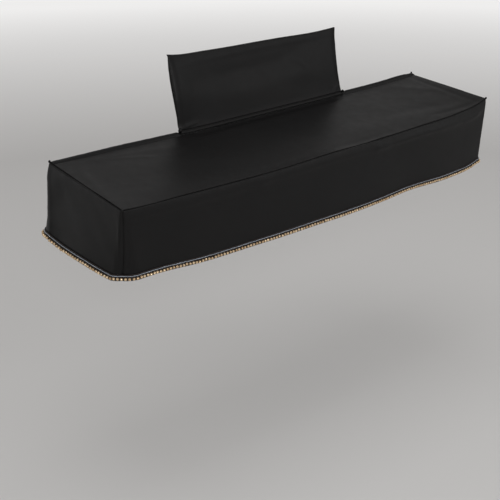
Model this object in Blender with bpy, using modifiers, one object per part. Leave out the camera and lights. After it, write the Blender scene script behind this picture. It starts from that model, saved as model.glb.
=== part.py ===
"""Fitted leatherette cover for a slim digital piano, with an upright pocket for its music rest.

The cover is modelled hollow, as it hangs on the piano, which is left out. It has a top panel, four
skirts, a four-piece pocket that stands up from the back seam, and a beaded trim along the hem.

Frame: metres, +X along the length to the player's right, +Y to the back, +Z up. The origin is on
the underside of the top panel, at its middle, where the piano carries it.
"""

import math

import bmesh
import bpy
import numpy as np

COLLECTION = "piano_cover"

# Sheet
SHEET = 0.0015
GAP = 0.0004
CORNER_GAP = 0.0005
SEAM_GAP = 0.0007
SEAM_DROP = SHEET + SEAM_GAP

# Top panel: its outline, and the roll of cloth along its back seam
LENGTH = 1.318
DEPTH = 0.290
TOP_CORNER_RADIUS = 0.006
SAG = 0.0025
RIDGE_CREST = 0.002
RIDGE_WIDTH = 0.008

# Skirts
SKIRT = 0.170
BACK_LEFT_HEM_RADIUS = 0.018
FRONT_LEFT_HEM_RADIUS = 0.042
FRONT_RIGHT_HEM_RADIUS = 0.024
BACK_RIGHT_HEM_RADIUS = 0.036
FRONT_LEFT_TWIST = math.radians(14)
FLARE_POWER = 1.3
PUSH_REACH = 0.66
ROLL_END = 0.024

# Music rest pocket: its ends and its front seam, from the front left corner of the top
POCKET_LEFT = 0.3920
POCKET_RIGHT = 0.9940
POCKET_FRONT = 0.2790
POCKET_ROLL = (0.03, 0.07)
POCKET_PUSH = 0.0075
PUSH_FADE = 0.0160
GUSSET_BULGE = 0.0020
GUSSET_LEAST = 0.0035
GUSSET_INSET = 0.0022

# Hem trim: a flat tape, a cord along its upper edge and a string of beads along its lower edge
TAPE_THICKNESS = 0.0010
TAPE_TOP = 0.1620
TAPE_BOTTOM = 0.1735
CORD_RADIUS = 0.0015
CORD_LINE = 0.1655
BEAD_RADIUS = 0.0035
BEAD_LINE = 0.1745
TRIM_END_GAP = 0.0020

# Mesh density
LONG_SPANS = (6, 3, 8, 3, 5)
SHORT_SPANS = (5, 2, 2)
CORNER_COLUMNS = 3
CORNER_SHARES = (0.35, 0.70, 0.95, 1.00)
SKIRT_ROWS = (2, 5)
POCKET_COLUMNS = 16
POCKET_ROWS = (1, 1, 8)
GUSSET_COLUMNS = 3

LEATHERETTE = ((0.012, 0.012, 0.013), 0.48, 0.0)
TAPE_FINISH = ((0.030, 0.014, 0.008), 0.80, 0.0)
CORD_FINISH = ((0.45, 0.48, 0.54), 0.30, 0.85)
BEAD_FINISH = ((0.80, 0.60, 0.36), 0.22, 0.60)


class Table:
    """Rows of named columns. The first column is a position, and the others are read between rows."""

    def __init__(self, columns, rows):
        self.columns = columns
        self.values = np.array(rows)

    def read(self, column, position):
        """The column's value at a position, on a smooth curve through the rows."""
        along = self.values[:, 0]
        value = self.values[:, self.columns.index(column)]
        slope = np.gradient(value, along)
        row = int(np.clip(np.searchsorted(along, position) - 1, 0, len(along) - 2))
        span = along[row + 1] - along[row]
        t = float(np.clip((position - along[row]) / span, 0.0, 1.0))
        start = (1 + 2 * t) * (1 - t) ** 2 * value[row] + t * (1 - t) ** 2 * span * slope[row]
        end = t * t * (3 - 2 * t) * value[row + 1] - t * t * (1 - t) * span * slope[row + 1]
        return float(start + end)


# Heights of the top's front and back edges above its front left corner, left to right
TOP_EDGES = Table(
    ("along", "front", "back", "ridge"),
    (
        (0.00, 0.0000, 0.0460, 0.0015),
        (0.04, -0.0022, 0.0450, 0.0032),
        (0.12, -0.0035, 0.0442, 0.0050),
        (0.36, -0.0070, 0.0430, 0.0050),
        (0.50, -0.0025, 0.0460, 0.0052),
        (0.65, -0.0015, 0.0485, 0.0058),
        (0.76, 0.0025, 0.0505, 0.0060),
        (0.90, 0.0095, 0.0540, 0.0064),
        (0.965, 0.0192, 0.0572, 0.0066),
        (1.00, 0.0315, 0.0600, 0.0030),
    ),
)

# Each skirt from its first corner to its last, going anticlockwise seen from above. The drop is
# the height of the skirt, the flare is how far its hem stands out, and the roll is the soft bulge
# of cloth that turns over below the top seam.
LEFT_SKIRT = Table(
    ("along", "drop", "flare", "roll", "roll_depth"),
    (
        (0.00, 0.170, 0.028, 0.0060, 0.040),
        (0.20, 0.176, 0.024, 0.0025, 0.014),
        (0.50, 0.174, 0.021, 0.0020, 0.012),
        (0.80, 0.171, 0.012, 0.0020, 0.012),
        (1.00, 0.168, 0.003, 0.0015, 0.012),
    ),
)
FRONT_SKIRT = Table(
    ("along", "drop", "flare", "roll", "roll_depth"),
    (
        (0.00, 0.168, 0.003, 0.0015, 0.010),
        (0.07, 0.166, -0.002, 0.0025, 0.010),
        (0.16, 0.169, 0.001, 0.0030, 0.010),
        (0.30, 0.170, 0.004, 0.0030, 0.010),
        (0.52, 0.171, 0.012, 0.0030, 0.012),
        (0.66, 0.170, 0.005, 0.0035, 0.014),
        (0.72, 0.169, 0.002, 0.0040, 0.016),
        (0.85, 0.174, 0.003, 0.0045, 0.020),
        (1.00, 0.186, -0.004, 0.0015, 0.022),
    ),
)
RIGHT_SKIRT = Table(
    ("along", "drop", "flare", "roll", "roll_depth"),
    (
        (0.00, 0.186, -0.004, 0.0015, 0.022),
        (0.35, 0.180, 0.006, 0.0030, 0.016),
        (0.70, 0.174, 0.013, 0.0025, 0.014),
        (1.00, 0.172, 0.009, 0.0025, 0.012),
    ),
)
BACK_SKIRT = Table(
    ("along", "drop", "flare", "roll", "roll_depth"),
    (
        (0.00, 0.172, 0.009, 0.0025, 0.012),
        (0.18, 0.171, 0.004, 0.0020, 0.012),
        (0.45, 0.170, 0.009, 0.0020, 0.012),
        (0.70, 0.170, 0.003, 0.0020, 0.012),
        (0.90, 0.170, 0.012, 0.0025, 0.014),
        (1.00, 0.170, 0.028, 0.0060, 0.040),
    ),
)

# The pocket, going up: how far its front at the left and right ends, and its back, stand behind
# its front seam, and how far its left and right ends stand to the right of their feet
POCKET_PROFILE = Table(
    ("up", "front_left", "front_right", "back", "left", "right"),
    (
        (0.00, 0.0009, 0.0009, 0.0180, 0.0000, 0.0000),
        (0.03, 0.0045, 0.0045, 0.0180, 0.0000, -0.0004),
        (0.07, 0.0085, 0.0085, 0.0200, -0.0005, -0.0010),
        (0.20, 0.0095, 0.0120, 0.0235, -0.0015, -0.0030),
        (0.48, 0.0105, 0.0215, 0.0370, -0.0020, -0.0060),
        (0.70, 0.0260, 0.0325, 0.0490, -0.0005, -0.0029),
        (0.91, 0.0415, 0.0455, 0.0540, 0.0000, 0.0055),
        (1.00, 0.0510, 0.0510, 0.0545, 0.0000, 0.0111),
    ),
)

# Height of the pocket's top edge above the front left corner of the top, left to right
POCKET_TOP = Table(
    ("along", "height"),
    (
        (0.00, 0.2385),
        (0.04, 0.2355),
        (0.20, 0.2330),
        (0.60, 0.2330),
        (0.92, 0.2330),
        (1.00, 0.2360),
    ),
)


def smoothstep(value):
    value = min(max(value, 0.0), 1.0)
    return value * value * (3 - 2 * value)


def spread(start, end, count):
    return list(np.linspace(start, end, count + 1))


def stops(ends, counts):
    """Evenly spaced places in each span between the ends."""
    places = [ends[0]]
    for start, end, count in zip(ends, ends[1:], counts):
        places += spread(start, end, count)[1:]
    return places


def long_stops(clearance=0.0):
    """Places of the columns along the length, with one at each end of the pocket and of the push."""
    half = LENGTH / 2
    ends = (
        TOP_CORNER_RADIUS - half,
        POCKET_LEFT - PUSH_FADE - half,
        POCKET_LEFT - clearance - half,
        POCKET_RIGHT + clearance - half,
        POCKET_RIGHT + PUSH_FADE - half,
        half - TOP_CORNER_RADIUS,
    )
    return stops(ends, LONG_SPANS)


def short_stops():
    """Places of the rows across the depth, closer at the roll along the back seam."""
    half = DEPTH / 2
    notch = POCKET_FRONT - half
    ends = (TOP_CORNER_RADIUS - half, notch - RIDGE_WIDTH, notch, half - TOP_CORNER_RADIUS)
    return stops(ends, SHORT_SPANS)


class Side:
    """One side of the cover: the way it runs, the way it faces, and its skirt's table.

    The radii are those of its first and last corner at the hem, and the twists are how far past
    the middle of each the skirt reaches there.
    """

    def __init__(self, name, along, outward, length, distance, table, hem_radii, hem_twists):
        self.name = name
        self.along = np.array(along)
        self.outward = np.array(outward)
        self.half = length / 2
        self.distance = distance / 2
        self.table = table
        self.hem_radii = hem_radii
        self.hem_twists = hem_twists

    def radii(self, down):
        """The outline's radius at the side's first and last corner, from 0 at the top to 1 at the hem."""
        return [TOP_CORNER_RADIUS + (radius - TOP_CORNER_RADIUS) * down for radius in self.hem_radii]

    def stations(self):
        """(kind, value) of each column: a share of a corner's half, or a share of the straight part."""
        run = self.half - TOP_CORNER_RADIUS
        if self.along[0]:
            places = sorted(self.along[0] * place for place in long_stops())
        else:
            places = sorted(self.along[1] * place for place in short_stops())
        first = [("corner", -share) for share in reversed(CORNER_SHARES)]
        straight = [("straight", 0.5 + place / (2 * run)) for place in places]
        last = [("corner", share) for share in CORNER_SHARES]
        return first + straight + last


LEFT_RADII = (BACK_LEFT_HEM_RADIUS, FRONT_LEFT_HEM_RADIUS)
FRONT_RADII = (FRONT_LEFT_HEM_RADIUS, FRONT_RIGHT_HEM_RADIUS)
RIGHT_RADII = (FRONT_RIGHT_HEM_RADIUS, BACK_RIGHT_HEM_RADIUS)
BACK_RADII = (BACK_RIGHT_HEM_RADIUS, BACK_LEFT_HEM_RADIUS)
LEFT_TWISTS = (0.0, -FRONT_LEFT_TWIST)
FRONT_TWISTS = (FRONT_LEFT_TWIST, 0.0)
NO_TWISTS = (0.0, 0.0)

SIDES = (
    Side("left_skirt", (0, -1), (-1, 0), DEPTH, LENGTH, LEFT_SKIRT, LEFT_RADII, LEFT_TWISTS),
    Side("front_skirt", (1, 0), (0, -1), LENGTH, DEPTH, FRONT_SKIRT, FRONT_RADII, FRONT_TWISTS),
    Side("right_skirt", (0, 1), (1, 0), DEPTH, LENGTH, RIGHT_SKIRT, RIGHT_RADII, NO_TWISTS),
    Side("back_skirt", (-1, 0), (0, 1), LENGTH, DEPTH, BACK_SKIRT, BACK_RADII, NO_TWISTS),
)


def at_pocket(x):
    """1 along the pocket's foot and 0 beside it, with a short fade past each end."""
    left = smoothstep((x + LENGTH / 2 - POCKET_LEFT + PUSH_FADE) / PUSH_FADE)
    right = smoothstep((POCKET_RIGHT + PUSH_FADE - x - LENGTH / 2) / PUSH_FADE)
    return left * right


def back_push(x):
    """How far the foot of the music rest pushes the back seam out."""
    return POCKET_PUSH * at_pocket(x)


def height_over_corner(x, y):
    """Height of the top panel's outer face above its front left corner."""
    along = x / LENGTH + 0.5
    deep = y / DEPTH + 0.5
    front = TOP_EDGES.read("front", along)
    back = TOP_EDGES.read("back", along)
    from_crest = (DEPTH / 2 - y - RIDGE_CREST) / RIDGE_WIDTH
    ridge = TOP_EDGES.read("ridge", along) * math.exp(-from_crest * from_crest) * (1 - at_pocket(x))
    hollow = SAG * math.sin(math.pi * min(max(along, 0), 1)) * math.sin(math.pi * min(max(deep, 0), 1))
    return front + (back - front) * deep + ridge - hollow


def top_height(x, y):
    """Height of the top panel's outer face in the cover's frame."""
    return height_over_corner(x, y) - height_over_corner(0.0, 0.0) + SHEET


def plan_point(side, station, down, half_gap):
    """(point, outward direction, share along the side) of a station on the rounded outline."""
    kind, value = station
    first, last = side.radii(down)
    if kind == "straight":
        place = (1 - value) * (first - side.half) + value * (side.half - last)
        point = side.along * place + side.outward * side.distance
        return point, side.outward, 0.5 + place / (2 * side.half)
    radius = last if value > 0 else first
    twist = side.hem_twists[1 if value > 0 else 0] * down
    run = side.half - radius
    angle = value * (math.pi / 4 + twist - math.asin(half_gap / radius))
    normal = side.outward * math.cos(angle) + side.along * math.sin(angle)
    centre = side.along * math.copysign(run, value) + side.outward * (side.distance - radius)
    share = 0.5 + (math.copysign(run, value) + value * radius) / (2 * side.half)
    return centre + normal * radius, normal, share


def skirt_point(side, station, depth, out=0.0, half_gap=CORNER_GAP / 2):
    """A point on a skirt's outer face, at a depth below the top seam, and out from the face."""
    down = depth / SKIRT
    seam, seam_normal, share = plan_point(side, station, 0.0, half_gap)
    point, normal, share = plan_point(side, station, down, half_gap)
    roll_depth = side.table.read("roll_depth", share)
    stretch = side.table.read("drop", share) / SKIRT
    roll = side.table.read("roll", share) * depth / roll_depth * math.exp(1 - depth / roll_depth)
    stand_off = roll + side.table.read("flare", share) * down ** FLARE_POWER
    if side.name == "back_skirt":
        stand_off += back_push(point[0]) * (1 - smoothstep(down / PUSH_REACH))
    point = point + normal * (stand_off + out)
    height = top_height(seam[0], seam[1]) - SEAM_DROP - depth * stretch
    return np.array((point[0], point[1], height))


def pocket_point(face, across, up):
    """A point on the outer face of the pocket's front or back."""
    left = POCKET_LEFT + POCKET_PROFILE.read("left", up)
    right = POCKET_RIGHT + POCKET_PROFILE.read("right", up)
    x = left + across * (right - left) - LENGTH / 2
    seam = POCKET_FRONT - DEPTH / 2
    if face == "front":
        near_right = smoothstep(across)
        behind = POCKET_PROFILE.read("front_left", up) * (1 - near_right)
        behind += POCKET_PROFILE.read("front_right", up) * near_right
        foot = top_height(x, seam) - SHEET
    else:
        behind = POCKET_PROFILE.read("back", up)
        foot = top_height(x, DEPTH / 2) - SHEET
    head = POCKET_TOP.read("height", across) - height_over_corner(0.0, 0.0) + SHEET
    return np.array((x, seam + behind, foot + (head - foot) * up))


def material(name, finish):
    """A plain Principled material."""
    colour, roughness, metallic = finish
    made = bpy.data.materials.new(name)
    made.use_nodes = True
    shader = made.node_tree.nodes["Principled BSDF"]
    shader.inputs["Base Color"].default_value = (*colour, 1.0)
    shader.inputs["Roughness"].default_value = roughness
    shader.inputs["Metallic"].default_value = metallic
    return made


def link(name, data, finish, collection):
    """An object of this name, with its own material, in the cover's collection."""
    data.materials.append(material(name, finish))
    made = bpy.data.objects.new(name, data)
    collection.objects.link(made)
    return made


def add_sheet(name, rows, finish, collection, thickness=SHEET, skip=None):
    """A sheet whose outer face is a grid of points, made solid inwards by its thickness."""
    mesh = bpy.data.meshes.new(name)
    shape = bmesh.new()
    grid = [[shape.verts.new(point) for point in row] for row in rows]
    for row in range(len(grid) - 1):
        for column in range(len(grid[row]) - 1):
            if skip is not None and skip(row, column):
                continue
            corners = (
                grid[row][column],
                grid[row][column + 1],
                grid[row + 1][column + 1],
                grid[row + 1][column],
            )
            shape.faces.new(corners)
    loose = [vertex for vertex in shape.verts if not vertex.link_faces]
    bmesh.ops.delete(shape, geom=loose, context="VERTS")
    shape.to_mesh(mesh)
    shape.free()
    mesh.shade_smooth()
    made = link(name, mesh, finish, collection)
    solid = made.modifiers.new("Thickness", "SOLIDIFY")
    solid.thickness = abs(thickness)
    solid.offset = math.copysign(1.0, -thickness)
    return made


def corner_square(p, q):
    """Maps the corner square of a grid, 0 to 1 each way, onto a quarter disc."""
    return p * math.sqrt(1 - q * q / 2), q * math.sqrt(1 - p * p / 2)


def round_off(x, y):
    """Draws the points of the top panel's corners in onto their radius."""
    inner_x = LENGTH / 2 - TOP_CORNER_RADIUS
    inner_y = DEPTH / 2 - TOP_CORNER_RADIUS
    if abs(x) <= inner_x or abs(y) <= inner_y:
        return x, y
    p = (abs(x) - inner_x) / TOP_CORNER_RADIUS
    q = (abs(y) - inner_y) / TOP_CORNER_RADIUS
    p, q = corner_square(p, q)
    x = math.copysign(inner_x + p * TOP_CORNER_RADIUS, x)
    y = math.copysign(inner_y + q * TOP_CORNER_RADIUS, y)
    return x, y


def add_top_panel(collection):
    """The top panel, with the notch in its back edge that the pocket stands in."""
    half_x = LENGTH / 2
    half_y = DEPTH / 2
    notch_left = POCKET_LEFT - half_x - GAP
    notch_right = POCKET_RIGHT - half_x + GAP
    notch_front = POCKET_FRONT - half_y
    edge = TOP_CORNER_RADIUS
    columns = spread(-half_x, edge - half_x, CORNER_COLUMNS)[:-1]
    columns += long_stops(clearance=GAP)
    columns += spread(half_x - edge, half_x, CORNER_COLUMNS)[1:]
    rows = spread(-half_y, edge - half_y, CORNER_COLUMNS)[:-1]
    rows += short_stops()
    rows += spread(half_y - edge, half_y, CORNER_COLUMNS)[1:]

    def point(x, y):
        x, y = round_off(x, y)
        height = top_height(x, y)
        behind = smoothstep((y - notch_front) / (half_y - notch_front))
        return (x, y + back_push(x) * behind, height)

    def in_notch(row, column):
        middle = (columns[column] + columns[column + 1]) / 2
        return rows[row] > notch_front - GAP and notch_left < middle < notch_right

    grid = [[point(x, y) for x in columns] for y in rows]
    add_sheet("top_panel", grid, LEATHERETTE, collection, skip=in_notch)


def add_skirt(side, collection):
    """One skirt, hanging from the top seam to the hem."""
    stations = side.stations()
    depths = stops((0.0, ROLL_END, SKIRT), SKIRT_ROWS)
    grid = [[skirt_point(side, station, depth) for station in stations] for depth in reversed(depths)]
    add_sheet(side.name, grid, LEATHERETTE, collection)


def pocket_rows():
    """Heights of the pocket's rows, closer at the roll along its front seam."""
    return stops((0.0, *POCKET_ROLL, 1.0), POCKET_ROWS)


def add_pocket_face(name, face, collection):
    """The pocket's front or back, from the seam at its foot to the seam along its top."""
    across = spread(0.0, 1.0, POCKET_COLUMNS)
    if face == "back":
        across.reverse()
    grid = [[pocket_point(face, share, up) for share in across] for up in pocket_rows()]
    add_sheet(name, grid, LEATHERETTE, collection)


def add_gusset(name, across, collection):
    """The narrow side piece between the pocket's front and back, which ends where they meet."""
    rows = []
    inset = np.array((0.0, GUSSET_INSET, 0.0))
    for up in pocket_rows():
        front = pocket_point("front", across, up) + inset
        back = pocket_point("back", across, up) - inset
        if back[1] - front[1] < GUSSET_LEAST:
            break
        bulge = math.copysign(GUSSET_BULGE, across - 0.5) * math.sin(math.pi * up)
        row = []
        for share in spread(0.0, 1.0, GUSSET_COLUMNS):
            stand_off = np.array((bulge * math.sin(math.pi * share), 0.0, 0.0))
            row.append(front + (back - front) * share + stand_off)
        rows.append(row if across > 0.5 else row[::-1])
    add_sheet(name, rows, LEATHERETTE, collection)


def hem_path(depth, out):
    """The points of a line round the hem, from the back left corner and back to it."""
    path = []
    for side in SIDES:
        path += [skirt_point(side, station, depth, out) for station in side.stations()[:-1]]
    path.append(skirt_point(SIDES[-1], SIDES[-1].stations()[-1], depth, out))
    for end, inner in ((0, 1), (-1, -2)):
        way = path[inner] - path[end]
        path[end] = path[end] + way * (TRIM_END_GAP / 2) / np.linalg.norm(way)
    return path


def add_tape(collection):
    """The flat tape that is sewn to the outside of the hem."""
    out = GAP
    upper = hem_path(TAPE_TOP, out)
    lower = hem_path(TAPE_BOTTOM, out)
    add_sheet("trim_tape", [lower, upper], TAPE_FINISH, collection, thickness=-TAPE_THICKNESS)


def add_strand(name, depth, radius, finish, collection):
    """A round strand in front of the tape, as a tube along the hem."""
    curve = bpy.data.curves.new(name, "CURVE")
    curve.dimensions = "3D"
    path = hem_path(depth, TAPE_THICKNESS + 2 * GAP + radius)
    spline = curve.splines.new("POLY")
    spline.points.add(len(path) - 1)
    for point, place in zip(spline.points, path):
        point.co = (*place, 1.0)
    curve.bevel_depth = radius
    curve.bevel_resolution = 1
    curve.use_fill_caps = True
    link(name, curve, finish, collection)


def clear_scene():
    for thing in list(bpy.data.objects):
        bpy.data.objects.remove(thing, do_unlink=True)


def main():
    clear_scene()
    collection = bpy.data.collections.new(COLLECTION)
    bpy.context.scene.collection.children.link(collection)
    add_top_panel(collection)
    for side in SIDES:
        add_skirt(side, collection)
    add_pocket_face("pocket_front", "front", collection)
    add_pocket_face("pocket_back", "back", collection)
    add_gusset("pocket_left_gusset", 0.0, collection)
    add_gusset("pocket_right_gusset", 1.0, collection)
    add_tape(collection)
    add_strand("trim_cord", CORD_LINE, CORD_RADIUS, CORD_FINISH, collection)
    add_strand("bead_string", BEAD_LINE, BEAD_RADIUS, BEAD_FINISH, collection)


main()
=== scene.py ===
"""Looks of a fitted leatherette piano cover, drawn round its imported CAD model.

Each sheet of the cover is drawn again as a fine closed sheet, from sizes and tables like those
that shape the solids, with rolled seams, creases, puckers and grain. The drawn hem and the drawn
front of the pocket leave their solids by a few millimetres in places. The hem gets its woven tape,
its twisted silver cord and its beads.

Metres, +X along the length to the player's right, +Y to the back, +Z up.
"""

import math

import bpy
import numpy as np
from mathutils import Matrix, Vector


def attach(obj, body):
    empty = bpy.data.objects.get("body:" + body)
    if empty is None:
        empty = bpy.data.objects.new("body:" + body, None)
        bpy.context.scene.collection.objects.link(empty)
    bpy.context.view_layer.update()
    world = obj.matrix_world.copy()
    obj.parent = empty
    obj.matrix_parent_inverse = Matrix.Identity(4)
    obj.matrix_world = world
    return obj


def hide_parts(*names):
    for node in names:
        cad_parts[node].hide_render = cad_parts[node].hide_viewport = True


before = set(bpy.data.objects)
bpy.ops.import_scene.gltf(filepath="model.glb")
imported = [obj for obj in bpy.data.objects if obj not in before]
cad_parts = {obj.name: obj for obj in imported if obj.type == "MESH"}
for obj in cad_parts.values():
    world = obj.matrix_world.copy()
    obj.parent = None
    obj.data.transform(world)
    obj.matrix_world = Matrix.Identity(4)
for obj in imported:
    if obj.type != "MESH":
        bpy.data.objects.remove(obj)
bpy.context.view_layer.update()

# Camera
CAMERA_AT = (-1.8403, -1.8732, 0.7270)
CAMERA_HEADING = math.radians(41.95)
CAMERA_PITCH = math.radians(21.98)
CAMERA_ROLL = math.radians(-0.36)
CAMERA_LENS = 73.27
CAMERA_SENSOR = 36.0

# Floor, and the painted light that makes it paler with distance: it glows more the further away it
# is
FLOOR_HEIGHT = -0.757
FLOOR_SIZE = 40.0
FLOOR_COLOUR = (0.66, 0.653, 0.645, 1)
FLOOR_PAINTED_GLOW = {"From_Min": 2.6, "From_Max": 7.5, "To_Min": 0.0, "To_Max": 0.60}

# Light: the world's, and square softboxes as (name, place, size, watts)
WORLD_COLOUR = (1.0, 0.98, 0.965, 1)
WORLD_STRENGTH = 0.34
SOFTBOXES = (
    ("overhead", (0.0, 0.0, 4.0), 4.0, 52),
    ("front_right", (4.10, -4.30, 2.40), 3.8, 60),
    ("front", (-0.10, -5.00, 1.90), 2.8, 28),
    ("camera_side", (-2.60, -3.00, 1.30), 0.8, 42),
    ("back_left", (-2.50, 2.78, 0.66), 2.4, 11),
    ("back_right", (3.10, 3.45, 1.87), 3.0, 7),
)

# Top and skirts, with the solids' sizes
SHEET = 0.0015
LENGTH = 1.318
DEPTH = 0.290
TOP_CORNER_RADIUS = 0.006
SAG = 0.0025
SKIRT = 0.170
FLARE_POWER = 1.3
PUSH_REACH = 0.66
FRONT_LEFT_TWIST = math.radians(14)
HEM_RADII = {"back_left": 0.018, "front_left": 0.042, "front_right": 0.024, "back_right": 0.036}

# Pocket, with the solids' sizes
POCKET_LEFT = 0.3920
POCKET_RIGHT = 0.9940
POCKET_FRONT = 0.2790
POCKET_PUSH = 0.0075
PUSH_FADE = 0.0160
POCKET_TALL = 0.190

# How the pocket's faces turn at their ends: the back rolls out, the front curls forward at its
# right end and turns back on its way to its left end
END_ROLL = 0.0026
END_ROLL_PLACE = 0.0036
END_ROLL_WIDTH = 0.0026
END_CURL = 0.0042
END_CURL_PLACE = 0.0045
END_CURL_WIDTH = 0.0050
END_CURL_FULL = 0.6
END_ROUND = 0.0170
END_ROUND_DEPTH = 0.0072
END_ROUND_SHARE = 0.70

# The share of the pocket's width over which its front leaves the profile of its left end
POCKET_LEFT_SHARE = 0.16

# Gussets, which are pulled in between the pocket's faces
GUSSET_HOLLOW = 0.0022
GUSSET_HOLLOW_POWER = 0.8
GUSSET_INSET = 0.0004
GUSSET_THICKNESS = 0.0008

# Hem trim: how deep below the top seam each piece lies, how far it stands off, and its sizes
TAPE_TOP = 0.1620
TAPE_BOTTOM = 0.1780
TAPE_BACK = 0.0004
TAPE_FRONT = 0.0010
TAPE_THICKNESS = 0.0009
TAPE_PITCH = 0.0013
TAPE_ROWS = 8
TAPE_STRAND = 0.0034
TAPE_RELIEF = 0.0005
CORD_LINE = 0.1655
CORD_STAND_OFF = 0.0028
CORD_PLIES = 2
CORD_PLY_RADIUS = 0.00062
CORD_PLY_SIDES = 6
CORD_TWIST_RADIUS = 0.00048
CORD_TWIST_PITCH = 0.0048
CORD_TWIST_POINTS = 8
CORD_WANDER = 0.0003
CORD_WANDER_LENGTH = 0.06
CORD_END = 0.001
BEAD_LINE = 0.1722
BEAD_RADIUS = 0.0035
BEAD_STAND_OFF = 0.0018 + BEAD_RADIUS
BEAD_PITCH = 0.0094
BEAD_SHAPE = (0.98, 1.0, 1.0)
BEAD_SIZE_SPREAD = 0.02
BEAD_PLACE_SPREAD = 0.0002
BEAD_LEAN_SPREAD = 0.0003
THREAD_RADIUS = 0.00055
THREAD_SIDES = 5
THREAD_POINTS = 8
THREAD_RISE = 0.0046
THREAD_SINK = 0.0018
THREAD_IN_BEAD = 0.2
THREAD_END = 0.002
RAIL_STEP = 0.0015
RAIL_CORNER_POINTS = 12
RAIL_RUN_POINTS = 200
POLE_HOLE = 0.22

# How closely the grids are spaced: where the zones of a sheet end, and the pitch in each
SEAM_ZONE = 0.005
BORDER_ZONE = 0.012
SEAM_PITCH = 0.0006
BORDER_PITCH = 0.0014
OPEN_PITCH = 0.0040
WELT_ZONES = (0.030, 0.018)
WELT_PITCHES = (0.0020, 0.0008, 0.0009)
SKIRT_ZONES = (0.0, SEAM_ZONE, BORDER_ZONE, 0.028, SKIRT)
SKIRT_PITCHES = (SEAM_PITCH, 0.0012, 0.0020, 0.0036)
POCKET_ACROSS_ZONES = (0.0, 0.004, 0.015, 0.985, 1.0)
POCKET_ACROSS_PITCHES = (0.0004, 0.0012, 0.0065, 0.0012)
POCKET_UP_ZONES = (0.0, 0.010, 0.022, POCKET_TALL - 0.010, POCKET_TALL)
POCKET_UP_PITCHES = (SEAM_PITCH, 0.0014, 0.0036, 0.0009)
CORNER_POINTS = 15
GUSSET_ROWS = 71
GUSSET_COLUMNS = 13

# Seeds of what is uneven. Each sheet uses its own and the two after it.
SIDE_SEEDS = (0, 10, 20, 30)
TOP_SEED = 50
POCKET_FRONT_SEED = 60
POCKET_BACK_SEED = 64
CORD_SEED = 71
BEAD_SEED = 81
TAIL_SEED = 90


class Table:
    """Rows of named columns, read between rows on smooth curves. The first column is a position."""

    def __init__(self, columns, rows):
        self.columns = columns
        self.values = np.array(rows)
        self.along = self.values[:, 0]
        self.slopes = np.gradient(self.values, self.along, axis=0)

    def read(self, column, position):
        index = self.columns.index(column)
        position = np.clip(position, self.along[0], self.along[-1])
        row = np.clip(np.searchsorted(self.along, position) - 1, 0, len(self.along) - 2)
        span = self.along[row + 1] - self.along[row]
        t = (position - self.along[row]) / span
        value = self.values[:, index]
        slope = self.slopes[:, index]
        start = (1 + 2 * t) * (1 - t) ** 2 * value[row] + t * (1 - t) ** 2 * span * slope[row]
        end = t * t * (3 - 2 * t) * value[row + 1] - t * t * (1 - t) * span * slope[row + 1]
        return start + end


# Heights of the top's front and back edges above its front left corner, left to right
TOP_EDGES = Table(
    ("along", "front", "back", "ridge"),
    (
        (0.00, 0.0000, 0.0460, 0.0015),
        (0.04, -0.0022, 0.0450, 0.0032),
        (0.12, -0.0035, 0.0442, 0.0050),
        (0.36, -0.0070, 0.0430, 0.0050),
        (0.50, -0.0025, 0.0460, 0.0052),
        (0.65, -0.0015, 0.0485, 0.0058),
        (0.76, 0.0025, 0.0505, 0.0060),
        (0.90, 0.0095, 0.0540, 0.0064),
        (0.965, 0.0192, 0.0572, 0.0066),
        (1.00, 0.0315, 0.0600, 0.0030),
    ),
)

# Each skirt from its first corner to its last, anticlockwise seen from above
SKIRT_COLUMNS = ("along", "drop", "flare", "roll", "roll_depth")
LEFT_SKIRT = Table(
    SKIRT_COLUMNS,
    (
        (0.00, 0.1732, 0.028, 0.0060, 0.040),
        (0.20, 0.1775, 0.024, 0.0025, 0.014),
        (0.50, 0.1725, 0.021, 0.0020, 0.012),
        (0.80, 0.1683, 0.012, 0.0020, 0.012),
        (1.00, 0.1645, 0.003, 0.0015, 0.012),
    ),
)
FRONT_SKIRT = Table(
    SKIRT_COLUMNS,
    (
        (0.00, 0.1645, 0.003, 0.0015, 0.010),
        (0.07, 0.1635, -0.002, 0.0025, 0.010),
        (0.16, 0.1690, 0.001, 0.0030, 0.010),
        (0.30, 0.1682, 0.004, 0.0030, 0.010),
        (0.42, 0.1682, 0.009, 0.0030, 0.011),
        (0.52, 0.1704, 0.012, 0.0030, 0.012),
        (0.66, 0.1707, 0.005, 0.0035, 0.014),
        (0.72, 0.1698, 0.002, 0.0040, 0.016),
        (0.85, 0.1766, 0.003, 0.0045, 0.020),
        (1.00, 0.1890, -0.004, 0.0015, 0.022),
    ),
)
RIGHT_SKIRT = Table(
    SKIRT_COLUMNS,
    (
        (0.00, 0.1890, -0.004, 0.0015, 0.022),
        (0.35, 0.1815, 0.006, 0.0030, 0.016),
        (0.70, 0.174, 0.013, 0.0025, 0.014),
        (1.00, 0.172, 0.009, 0.0025, 0.012),
    ),
)
BACK_SKIRT = Table(
    SKIRT_COLUMNS,
    (
        (0.00, 0.172, 0.009, 0.0025, 0.012),
        (0.18, 0.171, 0.004, 0.0020, 0.012),
        (0.45, 0.170, 0.009, 0.0020, 0.012),
        (0.70, 0.170, 0.003, 0.0020, 0.012),
        (0.90, 0.1712, 0.012, 0.0025, 0.014),
        (1.00, 0.1732, 0.028, 0.0060, 0.040),
    ),
)

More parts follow.
